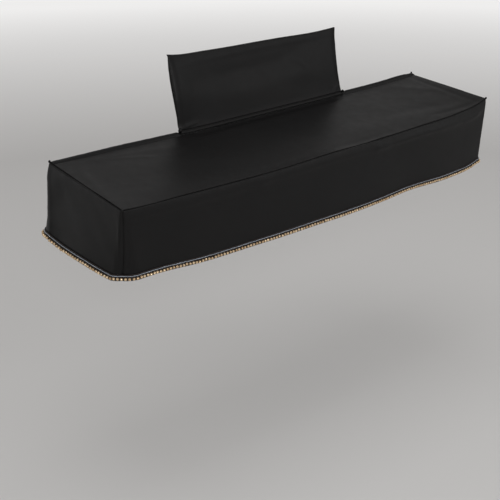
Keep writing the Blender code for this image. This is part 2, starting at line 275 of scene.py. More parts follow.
# The pocket, going up: how far its front at the left and right ends, and its back, stand behind
# its front seam, and how far its left and right ends stand to the right of their feet
POCKET_PROFILE = Table(
    ("up", "front_left", "front_right", "back", "left", "right"),
    (
        (0.00, 0.0009, 0.0009, 0.0180, 0.0000, 0.0000),
        (0.03, 0.0024, 0.0024, 0.0180, 0.0000, -0.0004),
        (0.07, 0.0050, 0.0050, 0.0200, -0.0005, -0.0010),
        (0.20, 0.0090, 0.0110, 0.0235, -0.0015, -0.0030),
        (0.48, 0.0155, 0.0220, 0.0370, -0.0020, -0.0060),
        (0.70, 0.0275, 0.0325, 0.0490, -0.0005, -0.0029),
        (0.91, 0.0415, 0.0455, 0.0540, 0.0000, 0.0055),
        (1.00, 0.0510, 0.0510, 0.0545, 0.0000, 0.0111),
    ),
)

# Height of the pocket's top edge above the front left corner of the top, left to right
POCKET_TOP = Table(
    ("along", "height"),
    (
        (0.00, 0.2385),
        (0.04, 0.2355),
        (0.20, 0.2330),
        (0.60, 0.2330),
        (0.92, 0.2330),
        (1.00, 0.2360),
    ),
)

# Soft ridges, whose height is above zero, and troughs, whose height is below. The columns are the
# start and how deep it is, the end and how deep it is, the width, the height, and how far the
# crease bows to one side. Starts and ends are along the sheet from its first corner, and depths are
# back from the front seam on the top, down from the seam on a skirt, and up from the foot on the
# pocket.
TOP_CREASES = (
    (0.012, 0.060, 0.050, 0.250, 0.012, 0.0007, 0.004),
    (0.070, 0.255, 0.330, 0.222, 0.014, 0.0007, 0.006),
    (0.150, 0.232, 0.240, 0.205, 0.007, 0.0006, 0.002),
    (0.060, 0.120, 0.420, 0.060, 0.050, -0.0012, 0.020),
    (0.440, 0.266, 0.970, 0.266, 0.012, -0.0030, 0.002),
    (0.450, 0.018, 0.900, 0.014, 0.012, -0.0010, 0.002),
    (0.640, 0.110, 1.080, 0.060, 0.036, 0.0010, -0.010),
    (1.020, 0.100, 1.240, 0.060, 0.022, -0.0010, 0.004),
    (1.120, 0.034, 1.300, 0.016, 0.010, -0.0011, -0.003),
    (1.160, 0.250, 1.290, 0.130, 0.018, 0.0010, 0.008),
    (1.286, 0.020, 1.290, 0.270, 0.010, -0.0012, 0.002),
)
LEFT_CREASES = (
    (0.012, 0.010, 0.016, 0.150, 0.008, 0.0007, 0.001),
    (0.020, 0.030, 0.070, 0.040, 0.024, 0.0022, 0.004),
    (0.040, 0.018, 0.150, 0.110, 0.022, -0.0006, 0.010),
    (0.070, 0.020, 0.185, 0.130, 0.026, 0.0010, 0.014),
    (0.006, 0.134, 0.100, 0.142, 0.024, -0.0030, 0.004),
    (0.180, 0.016, 0.262, 0.060, 0.020, -0.0006, 0.006),
    (0.200, 0.070, 0.272, 0.140, 0.020, 0.0008, 0.004),
    (0.276, 0.022, 0.277, 0.150, 0.0050, 0.0009, 0.001),
    (0.120, 0.120, 0.230, 0.160, 0.026, -0.0006, 0.004),
)
FRONT_CREASES = (
    (0.010, 0.020, 0.011, 0.160, 0.0075, -0.0016, 0.001),
    (0.026, 0.020, 0.420, 0.019, 0.0135, 0.0034, 0.001),
    (0.420, 0.019, 0.860, 0.021, 0.0125, 0.0030, -0.001),
    (0.840, 0.023, 1.270, 0.027, 0.0100, 0.0044, -0.003),
    (0.060, 0.095, 0.260, 0.070, 0.030, 0.0006, 0.010),
    (0.300, 0.120, 0.620, 0.135, 0.028, 0.0006, 0.006),
    (0.560, 0.110, 0.940, 0.075, 0.034, 0.0006, 0.012),
    (1.000, 0.080, 1.190, 0.140, 0.030, 0.0005, 0.010),
    (1.225, 0.030, 1.290, 0.024, 0.008, 0.0012, 0.001),
)
RIGHT_CREASES = (
    (0.012, 0.020, 0.014, 0.150, 0.007, 0.0010, 0.001),
    (0.020, 0.020, 0.110, 0.150, 0.018, 0.0014, 0.010),
    (0.070, 0.015, 0.190, 0.120, 0.016, -0.0012, 0.010),
    (0.150, 0.020, 0.260, 0.140, 0.018, 0.0014, -0.008),
)
BACK_CREASES = (
    (0.060, 0.030, 0.260, 0.130, 0.026, 0.0012, 0.012),
    (0.330, 0.012, 0.300, 0.110, 0.010, -0.0014, 0.006),
    (0.420, 0.060, 0.840, 0.110, 0.030, 0.0010, 0.014),
    (0.915, 0.012, 0.960, 0.110, 0.010, -0.0014, 0.006),
    (1.040, 0.040, 1.240, 0.120, 0.024, 0.0012, -0.010),
)
POCKET_FRONT_CREASES = (
    (0.002, 0.0130, 0.050, 0.0200, 0.0040, 0.0014, 0.001),
    (0.012, 0.0260, 0.075, 0.0340, 0.0110, -0.0008, 0.002),
    (0.110, 0.124, 0.400, 0.130, 0.0280, -0.0062, -0.004),
    (0.390, 0.134, 0.530, 0.158, 0.0220, -0.0024, 0.004),
    (0.060, 0.170, 0.570, 0.178, 0.0090, 0.0018, 0.002),
    (0.055, 0.030, 0.072, 0.110, 0.0180, -0.0010, 0.004),
    (0.440, 0.122, 0.470, 0.106, 0.0070, 0.0010, 0.002),
    (0.575, 0.014, 0.592, 0.030, 0.0050, 0.0016, 0.001),
    (0.160, 0.060, 0.360, 0.050, 0.0260, 0.0010, 0.008),
    (0.360, 0.085, 0.560, 0.070, 0.0260, 0.0012, 0.008),
)
POCKET_BACK_CREASES = (
    (0.040, 0.030, 0.180, 0.150, 0.0220, 0.0014, 0.010),
    (0.240, 0.080, 0.480, 0.090, 0.0300, -0.0018, 0.008),
    (0.470, 0.020, 0.560, 0.140, 0.0180, 0.0012, -0.006),
)

# Seams: the cloth rolls over and down into the crevice of each, and puckers beside it
CREVICE = 0.0030
CREVICE_WIDTH = 0.0021
CORNER_CREVICE = 0.0024
CORNER_CREVICE_WIDTH = 0.0026
POCKET_CREVICE = 0.0022
POCKET_CREVICE_WIDTH = 0.0024
NOTCH_MARGIN = 0.004
ROLL_RISE = 0.0016
ROLL_RISE_DEPTH = 0.0028
PUCKER = 0.0004
PUCKER_REACH = 0.010
PUCKER_LENGTHS = (0.05, 0.04)
POCKET_PUCKER_LENGTHS = (0.045, 0.05)

# Unevenness of the open cloth, how waves get shorter and weaker, and how high a crease's ends are
UNEVEN = 0.0005
UNEVEN_LENGTHS = (0.47, 0.31, 0.21, 0.14)
WAVE_SHORTENING = 1.5
WAVE_WEAKENING = 1.3
WAVE_HEIGHT = 2.5
CREASE_END_SHARE = 0.55

# The welts along the back seam and along the foot of the pocket
WELT_CREST = 0.0050
WELT_REACH = 0.0090
WELT_GROOVE = 0.0030
WELT_GROOVE_WIDTH = 0.0020
WELT_GROOVE_FADE = 0.010
FOOT_WELT = 0.0024
FOOT_WELT_HEIGHT = 0.0080
FOOT_GROOVE = 0.0016
FOOT_GROOVE_WIDTH = 0.0013

# Folded tails of the seams, where they stick out at the cover's corners. The columns are the place
# of each one's middle from the front left corner of the top, how far it stands above the top, and
# its half width, half depth and half height.
TAILS = (
    (0.0012, 0.2885, -0.0002, 0.0030, 0.0030, 0.0034),
    (0.0030, 0.0030, -0.0016, 0.0026, 0.0026, 0.0022),
    (1.3155, 0.0022, 0.0002, 0.0028, 0.0028, 0.0036),
    (1.3160, 0.2880, 0.0002, 0.0026, 0.0026, 0.0030),
    (0.3868, 0.2815, 0.0050, 0.0044, 0.0050, 0.0062),
    (0.9952, 0.2815, 0.0030, 0.0030, 0.0046, 0.0040),
)
TAIL_CREASE = 0.12
TAIL_CREASE_LENGTH = 0.9
TAIL_CREASE_WAY = (0.5, 0.7, 0.9)


def smoothstep(value):
    value = np.clip(value, 0.0, 1.0)
    return value * value * (3 - 2 * value)


def stops(ends, pitches):
    """Places from the first end to the last, at about each span's pitch."""
    places = [np.array([ends[0]])]
    for start, end, pitch in zip(ends, ends[1:], pitches):
        count = max(1, math.ceil((end - start) / pitch))
        places.append(np.linspace(start, end, count + 1)[1:])
    return np.concatenate(places)


def bell(distance, width):
    return np.exp(-((distance / width) ** 2))


def swell(distance, crest):
    """Rises from 0 at a seam to 1 at the crest, and dies away past it."""
    return distance / crest * np.exp(1 - distance / crest)


def waves(position, seed, longest, count=6):
    """A smooth uneven line: a sum of sines, each shorter than the last."""
    draw = np.random.default_rng(seed)
    total = np.zeros_like(position)
    for step in range(count):
        length = longest / WAVE_SHORTENING**step
        wave = np.sin(2 * np.pi * (position / length + draw.random()))
        total = total + wave / WAVE_WEAKENING**step
    return total / WAVE_HEIGHT


def unevenness(first, second, seed):
    """A smooth uneven field over a sheet, from waves that cross it several ways."""
    draw = np.random.default_rng(seed)
    total = np.zeros_like(first)
    for length in UNEVEN_LENGTHS:
        way = draw.random() * 2 * np.pi
        place = first * math.cos(way) + second * math.sin(way)
        total = total + np.sin(2 * np.pi * (place / length + draw.random()))
    return total / 2


def puckers(along, deep, from_seam, from_end, seed, lengths=PUCKER_LENGTHS):
    """Small puckers beside the seams along a sheet and at its ends."""
    beside_seam = waves(along, seed, lengths[0]) * np.exp(-from_seam / PUCKER_REACH)
    beside_end = waves(deep, seed + 1, lengths[1]) * np.exp(-from_end / PUCKER_REACH)
    return PUCKER * (beside_seam + beside_end)


def creases(rows, along, deep):
    """How far a sheet's creases raise it."""
    total = np.zeros_like(along)
    for start, start_deep, end, end_deep, width, height, bow in rows:
        way = end - start
        fall = end_deep - start_deep
        length = math.hypot(way, fall)
        t = ((along - start) * way + (deep - start_deep) * fall) / length**2
        inside = np.clip(t, 0, 1)
        across = ((along - start) * fall - (deep - start_deep) * way) / length
        across = across + 4 * bow * inside * (1 - inside)
        past = (t - inside) * length
        thinning = CREASE_END_SHARE + (1 - CREASE_END_SHARE) * np.sin(np.pi * inside)
        total = total + height * thinning * bell(across, width) * bell(past, 2 * width)
    return total


class Side:
    """One side of the cover. Its columns run from -1 to 0 over the first corner's half, from 0 to
    1 over the straight part, and from 1 to 2 over the last corner's half."""

    def __init__(self, name, along, outward, length, distance, table, radii, twists, rows, seed):
        self.name = name
        self.along = np.array(along)
        self.outward = np.array(outward)
        self.half = length / 2
        self.distance = distance / 2
        self.table = table
        self.radii = radii
        self.twists = twists
        self.creases = rows
        self.seed = seed

    def corner_radii(self, down):
        return [TOP_CORNER_RADIUS + (radius - TOP_CORNER_RADIUS) * down for radius in self.radii]

    def turn(self, corner, down):
        """How far round its first (0) or last (1) corner the side reaches."""
        return np.pi / 4 + self.twists[corner] * down

    def from_seams(self, column, down):
        """Distances along the cloth from the seams at the side's first and last corners."""
        first, last = self.corner_radii(down)
        straight = 2 * self.half - first - last
        run = np.clip(column, 0, 1) * straight
        first_arc = first * self.turn(0, down)
        last_arc = last * self.turn(1, down)
        before = np.minimum(column, 0)
        after = np.maximum(column - 1, 0)
        from_first = run + first_arc * (1 + before) + last_arc * after
        from_last = straight - run + last_arc * (1 - after) - first_arc * before
        return from_first, from_last

    def outline(self, column, down):
        """(point, outward direction, share along the side), seen from above. Down is 0 at the top
        and 1 at the hem."""
        first, last = self.corner_radii(down)
        straight = np.clip(column, 0, 1)
        before = np.minimum(column, 0)
        after = np.maximum(column - 1, 0)
        radius = np.where(column < 0, first, last)
        angle = before * self.turn(0, down) + after * self.turn(1, down)
        place = (1 - straight) * (first - self.half) + straight * (self.half - last)
        ahead = place + radius * np.sin(angle)
        out = self.distance + radius * (np.cos(angle) - 1)
        point = ahead[..., None] * self.along + out[..., None] * self.outward
        normal = np.cos(angle)[..., None] * self.outward + np.sin(angle)[..., None] * self.along
        share = 0.5 + (place + (before + after) * radius) / (2 * self.half)
        return point, normal, share

    def surface(self, column, depth, out=0.0, detail=True):
        """Points on the skirt's outer face, for grids of columns and depths below the seam."""
        column, depth = np.broadcast_arrays(column, depth)
        down = depth / SKIRT
        seam, _, share = self.outline(column, np.zeros_like(down))
        point, normal, share = self.outline(column, down)
        roll_depth = self.table.read("roll_depth", share)
        stretch = self.table.read("drop", share) / SKIRT
        stand_off = self.table.read("roll", share) * swell(depth, roll_depth)
        stand_off = stand_off + self.table.read("flare", share) * down**FLARE_POWER
        if self.name == "back_skirt":
            push = back_push(point[..., 0]) * (1 - smoothstep(down / PUSH_REACH))
            stand_off = stand_off + push
        pocket = 1 - smoothstep(down)
        height = top_height(seam[..., 0], seam[..., 1], pocket) - depth * stretch
        if detail:
            stand_off = stand_off + self.detail(column, share * 2 * self.half, depth)
            rise = ROLL_RISE * swell(depth, ROLL_RISE_DEPTH)
            height = height + rise - CREVICE * bell(depth, CREVICE_WIDTH)
        point = point + normal * (stand_off + out)[..., None]
        return np.concatenate((point, height[..., None]), axis=-1)

    def detail(self, column, along, depth):
        """What creases, puckers and seams add to the skirt's stand-off."""
        from_corner = np.minimum(*self.from_seams(column, depth / SKIRT))
        below = 1 - bell(depth, CREVICE_WIDTH)
        beside = 1 - bell(from_corner, CORNER_CREVICE_WIDTH)
        fade = below * beside
        pull = CREVICE * (1 - below) + CORNER_CREVICE * (1 - beside) * below
        raised = creases(self.creases, along, depth)
        raised = raised + puckers(along, depth, depth, from_corner, self.seed)
        raised = raised + UNEVEN * unevenness(along, depth, self.seed + 2)
        return raised * fade - pull


def make_sides():
    """The four sides, anticlockwise seen from above, from the back left corner."""
    back_left, front_left, front_right, back_right = HEM_RADII.values()
    twist = FRONT_LEFT_TWIST
    names = ("left_skirt", "front_skirt", "right_skirt", "back_skirt")
    rows = (
        ((0, -1), (-1, 0), DEPTH, LENGTH, LEFT_SKIRT, (back_left, front_left), (0, -twist)),
        ((1, 0), (0, -1), LENGTH, DEPTH, FRONT_SKIRT, (front_left, front_right), (twist, 0)),
        ((0, 1), (1, 0), DEPTH, LENGTH, RIGHT_SKIRT, (front_right, back_right), (0, 0)),
        ((-1, 0), (0, 1), LENGTH, DEPTH, BACK_SKIRT, (back_right, back_left), (0, 0)),
    )
    lists = (LEFT_CREASES, FRONT_CREASES, RIGHT_CREASES, BACK_CREASES)
    return [Side(name, *row, *rest) for name, row, *rest in zip(names, rows, lists, SIDE_SEEDS)]


def at_pocket(x):
    """1 along the pocket's foot and 0 beside it, with a short fade past each end."""
    left = smoothstep((x + LENGTH / 2 - POCKET_LEFT + PUSH_FADE) / PUSH_FADE)
    right = smoothstep((POCKET_RIGHT + PUSH_FADE - x - LENGTH / 2) / PUSH_FADE)
    return left * right


def back_push(x):
    return POCKET_PUSH * at_pocket(x)


def height_over_corner(x, y, pocket=1.0):
    """Height of the top panel's outer face above its front left corner. The welt along the back
    seam stops at the pocket, as far as the pocket counts."""
    along = np.clip(x / LENGTH + 0.5, 0, 1)
    deep = np.clip(y / DEPTH + 0.5, 0, 1)
    front = TOP_EDGES.read("front", along)
    back = TOP_EDGES.read("back", along)
    from_back = DEPTH / 2 - y
    welt = np.clip(1 - ((from_back - WELT_CREST) / WELT_REACH) ** 2, 0, 1)
    ridge = TOP_EDGES.read("ridge", along) * welt * (1 - pocket * at_pocket(x))
    hollow = SAG * np.sin(np.pi * along) * np.sin(np.pi * deep)
    return front + (back - front) * deep + ridge - hollow


def top_height(x, y, pocket=1.0):
    """Height of the top panel's outer face in the cover's frame."""
    return height_over_corner(x, y, pocket) - height_over_corner(0.0, 0.0) + SHEET


# ---------------------------------------------------------------------------- meshes


def make_object(name, vertices, faces, materials, choice=None):
    """A smooth mesh object from arrays. The choice gives each face's material."""
    mesh = bpy.data.meshes.new(name)
    mesh.from_pydata(vertices.tolist(), [], faces.tolist())
    for material in materials:
        mesh.materials.append(material)
    if choice is not None:
        mesh.polygons.foreach_set("material_index", np.asarray(choice, np.int32))
    mesh.polygons.foreach_set("use_smooth", np.ones(len(mesh.polygons), bool))
    mesh.update()
    made = bpy.data.objects.new(name, mesh)
    bpy.context.scene.collection.objects.link(made)
    return made


def grid_normals(grid):
    """Unit normals of a grid of points, to the side from which rows go up and columns go right."""
    across = np.gradient(grid, axis=1)
    up = np.gradient(grid, axis=0)
    normal = np.cross(across, up)
    return normal / np.maximum(np.linalg.norm(normal, axis=-1, keepdims=True), 1e-12)


def sheet_object(name, outer, materials, keep=None, thickness=SHEET):
    """A closed sheet whose outer face is a grid of points. Cells that aren't kept are left out. It
    has the first material outside and the second inside."""
    rows, columns = outer.shape[:2]
    inner = outer - grid_normals(outer) * thickness
    vertices = np.concatenate((outer.reshape(-1, 3), inner.reshape(-1, 3)))
    index = np.arange(rows * columns).reshape(rows, columns)
    if keep is None:
        keep = np.ones((rows - 1, columns - 1), bool)
    back = rows * columns
    a, b = index[:-1, :-1][keep], index[:-1, 1:][keep]
    c, d = index[1:, 1:][keep], index[1:, :-1][keep]
    face = np.stack((a, b, c, d), axis=1)
    lining = np.stack((d, c, b, a), axis=1) + back
    padded = np.pad(keep, 1)
    ends = []
    for shift, start, end in zip(((1, 0), (0, -1), (-1, 0), (0, 1)), (a, b, c, d), (b, c, d, a)):
        beside = np.roll(padded, shift, axis=(0, 1))[1:-1, 1:-1]
        open_edge = ~beside[keep]
        first, last = start[open_edge], end[open_edge]
        ends.append(np.stack((last, first, first + back, last + back), axis=1))
    faces = np.concatenate((face, lining, *ends))
    choice = np.zeros(len(faces), np.int32)
    choice[len(face) : 2 * len(face)] = 1
    used, renumbered = np.unique(faces, return_inverse=True)
    faces = renumbered.reshape(-1, 4)
    return make_object(name, vertices[used], faces, materials, choice)


def ride(piece, slot, *nodes):
    """Makes a piece ride on the body in place of the nodes it stands for, and hides those nodes.
    The slot is not used.
    """
    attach(piece, "root")
    if nodes:
        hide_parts(*nodes)
    return piece


# ---------------------------------------------------------------------------- leatherette sheets


def add_top(materials):
    """The top panel, rolled down into its seams, with the notch that the pocket stands in."""
    half_x, half_y = LENGTH / 2, DEPTH / 2
    notch_left, notch_right = POCKET_LEFT - half_x, POCKET_RIGHT - half_x
    notch_front = POCKET_FRONT - half_y
    x = stops(
        (
            -half_x,
            SEAM_ZONE - half_x,
            BORDER_ZONE - half_x,
            notch_left,
            notch_right,
            half_x - BORDER_ZONE,
            half_x - SEAM_ZONE,
            half_x,
        ),
        (SEAM_PITCH, BORDER_PITCH, OPEN_PITCH, OPEN_PITCH, OPEN_PITCH, BORDER_PITCH, SEAM_PITCH),
    )
    y = stops(
        (
            -half_y,
            SEAM_ZONE - half_y,
            BORDER_ZONE - half_y,
            half_y - WELT_ZONES[0],
            half_y - WELT_ZONES[1],
            notch_front,
            half_y - SEAM_ZONE,
            half_y,
        ),
        (SEAM_PITCH, BORDER_PITCH, OPEN_PITCH, *WELT_PITCHES, SEAM_PITCH),
    )
    x, y = np.meshgrid(x, y)
    along, deep = x + half_x, y + half_y
    edge = TOP_CORNER_RADIUS
    in_x = np.maximum(np.abs(x) - half_x + edge, 0) / edge
    in_y = np.maximum(np.abs(y) - half_y + edge, 0) / edge
    rounded_x = half_x - edge + edge * in_x * np.sqrt(1 - in_y**2 / 2)
    rounded_y = half_y - edge + edge * in_y * np.sqrt(1 - in_x**2 / 2)
    flat_x = np.sign(x) * np.where(in_x > 0, rounded_x, np.abs(x))
    flat_y = np.sign(y) * np.where(in_y > 0, rounded_y, np.abs(y))
    from_side, from_face = half_x - np.abs(x), half_y - np.abs(y)
    from_edge = np.minimum(from_side, from_face)
    crevice = CREVICE * bell(from_edge, CREVICE_WIDTH)
    away_x = np.sign(x) * bell(from_side, 2 * edge / 3)
    away_y = np.sign(y) * bell(from_face, 2 * edge / 3)
    away = np.maximum(np.hypot(away_x, away_y), 1e-9)
    pushed = back_push(x) * smoothstep((y - notch_front) / (half_y - notch_front))
    at_notch = (x > notch_left - NOTCH_MARGIN) & (x < notch_right + NOTCH_MARGIN)
    from_notch = np.where(at_notch, np.abs(notch_front - y), 1.0)
    fade = 1 - bell(from_edge, CREVICE_WIDTH)
    from_welt = half_y - y - WELT_CREST - WELT_REACH
    groove = WELT_GROOVE * bell(from_welt, WELT_GROOVE_WIDTH) * (1 - at_pocket(x))
    groove = groove * smoothstep(from_side / WELT_GROOVE_FADE)
    groove = groove + POCKET_CREVICE * bell(from_notch, POCKET_CREVICE_WIDTH)
    raised = puckers(along, deep, from_face, from_side, TOP_SEED)
    raised = raised + creases(TOP_CREASES, along, deep)
    raised = raised + UNEVEN * unevenness(x, y, TOP_SEED + 2) - groove
    outer = np.stack(
        (
            flat_x - crevice * away_x / away,
            flat_y - crevice * away_y / away + pushed,
            top_height(flat_x, flat_y) - crevice + raised * fade,
        ),
        axis=-1,
    )
    middle_x = (x[:-1, :-1] + x[1:, 1:]) / 2
    middle_y = (y[:-1, :-1] + y[1:, 1:]) / 2
    keep = ~((middle_y > notch_front) & (middle_x > notch_left) & (middle_x < notch_right))
    piece = sheet_object("top_cloth", outer, materials, keep)
    ride(piece, "leatherette", "top_panel")


def add_skirt(side, materials):
    """One skirt, from the crevice of the top seam to the hem."""
    pitch = OPEN_PITCH / (2 * side.half)
    corner = np.linspace(0, 1, CORNER_POINTS) ** 1.5
    columns = np.concatenate((corner[:-1] - 1, stops((0, 1), (pitch,)), 2 - corner[-2::-1]))
    depths = stops(SKIRT_ZONES, SKIRT_PITCHES)
    outer = side.surface(columns[None, :], depths[::-1, None])
    piece = sheet_object(side.name + "_cloth", outer, materials)
    ride(piece, "leatherette", side.name)


def pocket_surface(face, across, up):
    """Points on the outer face of the pocket's front or back."""
    across, up = np.broadcast_arrays(across, up)
    left = POCKET_LEFT + POCKET_PROFILE.read("left", up)
    right = POCKET_RIGHT + POCKET_PROFILE.read("right", up)
    x = left + across * (right - left) - LENGTH / 2
    seam = POCKET_FRONT - DEPTH / 2
    if face == "front":
        near_right = smoothstep(across / POCKET_LEFT_SHARE)
        behind = POCKET_PROFILE.read("front_left", up) * (1 - near_right)
        behind = behind + POCKET_PROFILE.read("front_right", up) * near_right
        foot = top_height(x, seam) - SHEET
    else:
        behind = POCKET_PROFILE.read("back", up)
        foot = top_height(x, DEPTH / 2) - SHEET
    head = POCKET_TOP.read("height", across) - height_over_corner(0.0, 0.0) + SHEET
    return np.stack((x, seam + behind, foot + (head - foot) * up), axis=-1)


def end_round(up, from_end):
    """How far the front of the pocket turns back on its way to its left end."""
    depth = POCKET_PROFILE.read("back", up) - POCKET_PROFILE.read("front_left", up)
    furthest = np.minimum(END_ROUND_DEPTH, END_ROUND_SHARE * depth)
    return furthest * np.clip(1 - from_end / END_ROUND, 0, 1) ** 2


def add_pocket_face(face, rows, seed, materials):
    """The pocket's front or back, with the welt that stands along its foot."""
    width = POCKET_RIGHT - POCKET_LEFT
    across = stops(POCKET_ACROSS_ZONES, POCKET_ACROSS_PITCHES)
    across, tall = np.meshgrid(across, stops(POCKET_UP_ZONES, POCKET_UP_PITCHES))
    up = tall / POCKET_TALL
    outer = pocket_surface(face, across, up)
    along = across * width
    from_end = np.minimum(along, width - along)
    from_rim = np.minimum(from_end, POCKET_TALL - tall)
    from_seam = np.minimum(tall, POCKET_TALL - tall)
    middle = FOOT_WELT_HEIGHT / 2
    welt = FOOT_WELT * np.sqrt(np.clip(1 - ((tall - middle) / middle) ** 2, 0, 1))
    groove = FOOT_GROOVE * bell(tall - FOOT_WELT_HEIGHT - FOOT_GROOVE_WIDTH / 2, FOOT_GROOVE_WIDTH)
    if face == "front":
        roll = END_CURL * bell(width - along - END_CURL_PLACE, END_CURL_WIDTH)
        roll = roll * smoothstep(up / END_CURL_FULL) - end_round(up, along)
        from_rim = np.minimum(width - along, POCKET_TALL - tall)
    else:
        roll = END_ROLL * bell(from_end - END_ROLL_PLACE, END_ROLL_WIDTH)
    pull = POCKET_CREVICE * bell(from_rim, POCKET_CREVICE_WIDTH)
    raised = creases(rows, along, tall) + UNEVEN * unevenness(along, tall, seed + 2)
    raised = raised + puckers(along, tall, from_seam, from_end, seed, POCKET_PUCKER_LENGTHS)
    raised = raised + welt - groove + roll - pull
    outer[..., 1] += raised * (-1.0 if face == "front" else 1.0)
    if face == "back":
        outer = outer[:, ::-1]
    piece = sheet_object(f"pocket_{face}_cloth", outer, materials)
    ride(piece, "leatherette", f"pocket_{face}")


def add_gusset(name, across, materials):
    """A narrow side piece between the pocket's front and back, up to where they meet."""
    up = np.linspace(0.0, 1.0, GUSSET_ROWS)[:, None]
    share = np.linspace(0.0, 1.0, GUSSET_COLUMNS)[None, :, None]
    front = pocket_surface("front", across, up[:, 0])[:, None]
    back = pocket_surface("back", across, up[:, 0])[:, None]
    at_right = across > 0.5
    front[..., 1] += POCKET_CREVICE if at_right else end_round(up, np.zeros_like(up))
    back[..., 1] -= POCKET_CREVICE
    outer = front * (1 - share) + back * share
    hollow = np.sin(np.pi * up) * np.sin(np.pi * share[..., 0] ** GUSSET_HOLLOW_POWER)
    inward = GUSSET_HOLLOW * hollow + GUSSET_INSET
    outer[..., 0] -= inward if at_right else -inward
    if not at_right:
        outer = outer[:, ::-1]
    piece = sheet_object(name + "_cloth", outer, materials, thickness=GUSSET_THICKNESS)
    ride(piece, "leatherette", name)


def add_tails(material):
    """The seam tails, each a small creased lump of folded leatherette."""
    base, faces = sphere_arrays(segments=16, rings=12)
    parts = []
    for number, (along, deep, above, *half) in enumerate(TAILS):
        x, y = along - LENGTH / 2, deep - DEPTH / 2
        crease = waves(base @ np.array(TAIL_CREASE_WAY), TAIL_SEED + number, TAIL_CREASE_LENGTH)
        creased = base * (1 + TAIL_CREASE * crease[:, None])
        middle = np.array((x, y, top_height(x, y, 0.0) + above))
        parts.append((creased * np.array(half) + middle, faces))
    return joined("seam_tails", parts, material)


# ---------------------------------------------------------------------------- hem trim


class Rail:
    """A line round the hem, read by its length."""

    def __init__(self, sides, depth, out):
        corner = np.linspace(0, 1, RAIL_CORNER_POINTS)
        run = np.linspace(0, 1, RAIL_RUN_POINTS)
        columns = np.concatenate((corner[:-1] - 1, run, corner[1:] + 1))
        depths = np.full_like(columns, depth)
        lines = [side.surface(columns, depths, out, detail=False) for side in sides]
        points = np.concatenate([line[:-1] for line in lines] + [lines[-1][-1:]])
        steps = np.linalg.norm(np.diff(points, axis=0), axis=1)
        self.points = points
        self.lengths = np.concatenate(((0.0,), np.cumsum(steps)))
        self.length = self.lengths[-1]

    def at(self, place):
        """(points, forward, outward, upward) at lengths along the rail."""
        point = self.position(place)
        forward = self.position(place + RAIL_STEP) - self.position(place - RAIL_STEP)
        forward = forward / np.linalg.norm(forward, axis=-1, keepdims=True)
        outward = np.cross(forward, (0.0, 0.0, 1.0))
        outward = outward / np.linalg.norm(outward, axis=-1, keepdims=True)
        return point, forward, outward, np.cross(outward, forward)

    def position(self, place):
        place = np.clip(place, 0.0, self.length)
        axes = [np.interp(place, self.lengths, self.points[:, axis]) for axis in range(3)]
        return np.stack(axes, axis=-1)


def tube_arrays(points, radius, sides):
    """(vertices, faces) of a tube with closed ends along a line of points."""
    forward = np.gradient(points, axis=0)
    forward = forward / np.linalg.norm(forward, axis=1, keepdims=True)
    outward = np.cross(forward, (0.0, 0.0, 1.0))
    outward = outward / np.linalg.norm(outward, axis=1, keepdims=True)
    upward = np.cross(outward, forward)
    angle = (np.arange(sides) * 2 * np.pi / sides)[None, :, None]
    ring = outward[:, None] * np.cos(angle) + upward[:, None] * np.sin(angle)
    vertices = (points[:, None] + radius * ring).reshape(-1, 3)
    index = np.arange(len(vertices)).reshape(-1, sides)
    beside = np.roll(index, -1, axis=1)
    faces = np.stack((index[:-1], index[1:], beside[1:], beside[:-1]), axis=-1).reshape(-1, 4)
    return vertices, faces


def add_cord(rail, material):
    """The silver cord: two plies twisted round each other."""
    place = np.arange(CORD_END, rail.length - CORD_END, CORD_TWIST_PITCH / CORD_TWIST_POINTS)
    point, _, outward, upward = rail.at(place)
    wander = CORD_WANDER * waves(place, CORD_SEED, CORD_WANDER_LENGTH)
    middle = point + wander[:, None] * upward
    parts = []
    for ply in range(CORD_PLIES):
        angle = 2 * np.pi * (place / CORD_TWIST_PITCH + ply / CORD_PLIES)[:, None]
        turned = np.cos(angle) * outward + np.sin(angle) * upward
        line = middle + CORD_TWIST_RADIUS * turned
        parts.append(tube_arrays(line, CORD_PLY_RADIUS, CORD_PLY_SIDES))
    return joined("silver_cord", parts, material)


def joined(name, parts, material):
    """One object from several (vertices, faces) pairs."""
    vertices, faces, count = [], [], 0
    for part_vertices, part_faces in parts:
        vertices.append(part_vertices)
        faces.append(part_faces + count)
        count += len(part_vertices)
    return make_object(name, np.concatenate(vertices), np.concatenate(faces), [material])


def add_tape(sides, material):
    """The woven tape that the beads hang from, with the relief of its crossing strands."""
    upper = Rail(sides, TAPE_TOP, TAPE_BACK)
    lower = Rail(sides, TAPE_BOTTOM, TAPE_BACK)
    share = np.linspace(0, 1, int(upper.length / TAPE_PITCH))
    across = np.linspace(0, 1, TAPE_ROWS)[:, None]
    top, _, outward, _ = upper.at(share * upper.length)
    bottom, _, _, _ = lower.at(share * lower.length)
    grid = bottom[None] * (1 - across[..., None]) + top[None] * across[..., None]
    run = share[None] * upper.length
    rise = across * (TAPE_BOTTOM - TAPE_TOP)
    up_strands = np.abs(np.sin(np.pi * (run + rise) / TAPE_STRAND))
    down_strands = np.abs(np.sin(np.pi * (run - rise) / TAPE_STRAND))
    stand_off = TAPE_FRONT + TAPE_RELIEF * up_strands * down_strands
    grid = grid + outward[None] * stand_off[..., None]
    return sheet_object("hem_tape", grid, [material, material], thickness=TAPE_THICKNESS)


